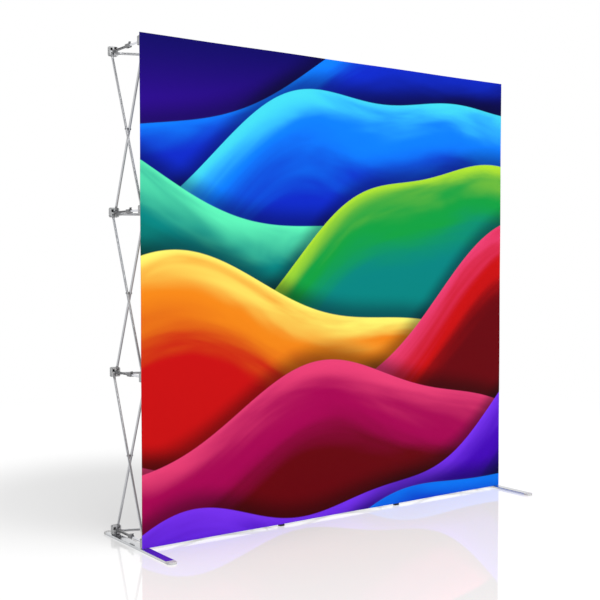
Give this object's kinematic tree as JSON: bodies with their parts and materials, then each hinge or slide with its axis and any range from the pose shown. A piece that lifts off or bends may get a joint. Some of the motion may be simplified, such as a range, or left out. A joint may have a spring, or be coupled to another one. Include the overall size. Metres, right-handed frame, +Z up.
{
  "type": "pop up display stand",
  "caption": "Free-standing square display wall: a scissor frame of hubs and tubes locked open, with a printed fabric across its front and a flat foot under each end.",
  "frame": {"origin": "on the floor, midway between the two ends and at mid-length of the feet", "axes": "+X to the right of someone who faces the graphic, +Y from the graphic to the back, +Z up"},
  "size_m": [2.26, 0.648, 2.27],
  "materials": {
    "tube_aluminium": "satin silver anodised tube",
    "hub_plastic": "mid-grey moulded nylon",
    "tube_end_plastic": "dark grey moulded nylon",
    "lock_plastic": "dark grey moulded nylon",
    "post_aluminium": "bright turned aluminium",
    "pin_steel": "plain zinc-plated steel",
    "graphic_print": "dye-printed stretch polyester, colours in flowing bands",
    "loop_tape": "white loop tape",
    "hook_tape": "black hook tape",
    "foot_aluminium": "satin extruded aluminium",
    "foot_cap_plastic": "light grey moulded plastic",
    "pad_rubber": "black rubber"
  },
  "bodies": {
    "frame": {"column_1_tubes": "tube_aluminium", "column_2_tubes": "tube_aluminium", "column_3_tubes": "tube_aluminium", "column_4_tubes": "tube_aluminium", "column_rivet_spacers": "pin_steel", "column_rivets": "pin_steel", "column_tube_ends": "tube_end_plastic", "fabric_graphic": "graphic_print", "front_hub_pins": "pin_steel", "front_hubs_column_1": "hub_plastic", "front_hubs_column_2": "hub_plastic", "front_hubs_column_3": "hub_plastic", "front_hubs_column_4": "hub_plastic", "hook_patches": "hook_tape", "hub_ground_pads": "pad_rubber", "left_foot_bar": "foot_aluminium", "left_foot_caps": "foot_cap_plastic", "left_foot_screws": "pin_steel", "left_foot_tongues": "tube_end_plastic", "lock_brackets": "lock_plastic", "lock_hinge_pins": "pin_steel", "lock_posts": "post_aluminium", "loop_patches": "loop_tape", "rear_hub_pins": "pin_steel", "rear_hubs_column_1": "hub_plastic", "rear_hubs_column_2": "hub_plastic", "rear_hubs_column_3": "hub_plastic", "rear_hubs_column_4": "hub_plastic", "right_foot_bar": "foot_aluminium", "right_foot_caps": "foot_cap_plastic", "right_foot_screws": "pin_steel", "right_foot_tongues": "tube_end_plastic", "row_1_tubes": "tube_aluminium", "row_2_tubes": "tube_aluminium", "row_3_tubes": "tube_aluminium", "row_4_tubes": "tube_aluminium", "row_rivet_spacers": "pin_steel", "row_rivets": "pin_steel", "row_tube_ends": "tube_end_plastic"},
    "lock_c1_r1": {"lock_arm_column_1_row_1": "lock_plastic"},
    "lock_c1_r2": {"lock_arm_column_1_row_2": "lock_plastic"},
    "lock_c1_r3": {"lock_arm_column_1_row_3": "lock_plastic"},
    "lock_c1_r4": {"lock_arm_column_1_row_4": "lock_plastic"},
    "lock_c2_r1": {"lock_arm_column_2_row_1": "lock_plastic"},
    "lock_c2_r2": {"lock_arm_column_2_row_2": "lock_plastic"},
    "lock_c2_r3": {"lock_arm_column_2_row_3": "lock_plastic"},
    "lock_c2_r4": {"lock_arm_column_2_row_4": "lock_plastic"},
    "lock_c3_r1": {"lock_arm_column_3_row_1": "lock_plastic"},
    "lock_c3_r2": {"lock_arm_column_3_row_2": "lock_plastic"},
    "lock_c3_r3": {"lock_arm_column_3_row_3": "lock_plastic"},
    "lock_c3_r4": {"lock_arm_column_3_row_4": "lock_plastic"},
    "lock_c4_r1": {"lock_arm_column_4_row_1": "lock_plastic"},
    "lock_c4_r2": {"lock_arm_column_4_row_2": "lock_plastic"},
    "lock_c4_r3": {"lock_arm_column_4_row_3": "lock_plastic"},
    "lock_c4_r4": {"lock_arm_column_4_row_4": "lock_plastic"}
  },
  "joints": [
    {"name": "lock_c1_r1_lift", "type": "hinge", "parent": "frame", "child": "lock_c1_r1", "pos_m": [-1.1025, 0.216, 0.0325], "axis": [-1, 0, 0], "range_deg": [0, 60]},
    {"name": "lock_c1_r2_lift", "type": "hinge", "parent": "frame", "child": "lock_c1_r2", "pos_m": [-1.1025, 0.216, 0.7675], "axis": [-1, 0, 0], "range_deg": [0, 60]},
    {"name": "lock_c1_r3_lift", "type": "hinge", "parent": "frame", "child": "lock_c1_r3", "pos_m": [-1.1025, 0.216, 1.5025], "axis": [-1, 0, 0], "range_deg": [0, 60]},
    {"name": "lock_c1_r4_lift", "type": "hinge", "parent": "frame", "child": "lock_c1_r4", "pos_m": [-1.1025, 0.216, 2.2375], "axis": [-1, 0, 0], "range_deg": [0, 60]},
    {"name": "lock_c2_r1_lift", "type": "hinge", "parent": "frame", "child": "lock_c2_r1", "pos_m": [-0.3675, 0.216, 0.0325], "axis": [-1, 0, 0], "range_deg": [0, 60]},
    {"name": "lock_c2_r2_lift", "type": "hinge", "parent": "frame", "child": "lock_c2_r2", "pos_m": [-0.3675, 0.216, 0.7675], "axis": [-1, 0, 0], "range_deg": [0, 60]},
    {"name": "lock_c2_r3_lift", "type": "hinge", "parent": "frame", "child": "lock_c2_r3", "pos_m": [-0.3675, 0.216, 1.5025], "axis": [-1, 0, 0], "range_deg": [0, 60]},
    {"name": "lock_c2_r4_lift", "type": "hinge", "parent": "frame", "child": "lock_c2_r4", "pos_m": [-0.3675, 0.216, 2.2375], "axis": [-1, 0, 0], "range_deg": [0, 60]},
    {"name": "lock_c3_r1_lift", "type": "hinge", "parent": "frame", "child": "lock_c3_r1", "pos_m": [0.3675, 0.216, 0.0325], "axis": [-1, 0, 0], "range_deg": [0, 60]},
    {"name": "lock_c3_r2_lift", "type": "hinge", "parent": "frame", "child": "lock_c3_r2", "pos_m": [0.3675, 0.216, 0.7675], "axis": [-1, 0, 0], "range_deg": [0, 60]},
    {"name": "lock_c3_r3_lift", "type": "hinge", "parent": "frame", "child": "lock_c3_r3", "pos_m": [0.3675, 0.216, 1.5025], "axis": [-1, 0, 0], "range_deg": [0, 60]},
    {"name": "lock_c3_r4_lift", "type": "hinge", "parent": "frame", "child": "lock_c3_r4", "pos_m": [0.3675, 0.216, 2.2375], "axis": [-1, 0, 0], "range_deg": [0, 60]},
    {"name": "lock_c4_r1_lift", "type": "hinge", "parent": "frame", "child": "lock_c4_r1", "pos_m": [1.1025, 0.216, 0.0325], "axis": [-1, 0, 0], "range_deg": [0, 60]},
    {"name": "lock_c4_r2_lift", "type": "hinge", "parent": "frame", "child": "lock_c4_r2", "pos_m": [1.1025, 0.216, 0.7675], "axis": [-1, 0, 0], "range_deg": [0, 60]},
    {"name": "lock_c4_r3_lift", "type": "hinge", "parent": "frame", "child": "lock_c4_r3", "pos_m": [1.1025, 0.216, 1.5025], "axis": [-1, 0, 0], "range_deg": [0, 60]},
    {"name": "lock_c4_r4_lift", "type": "hinge", "parent": "frame", "child": "lock_c4_r4", "pos_m": [1.1025, 0.216, 2.2375], "axis": [-1, 0, 0], "range_deg": [0, 60]}
  ]
}
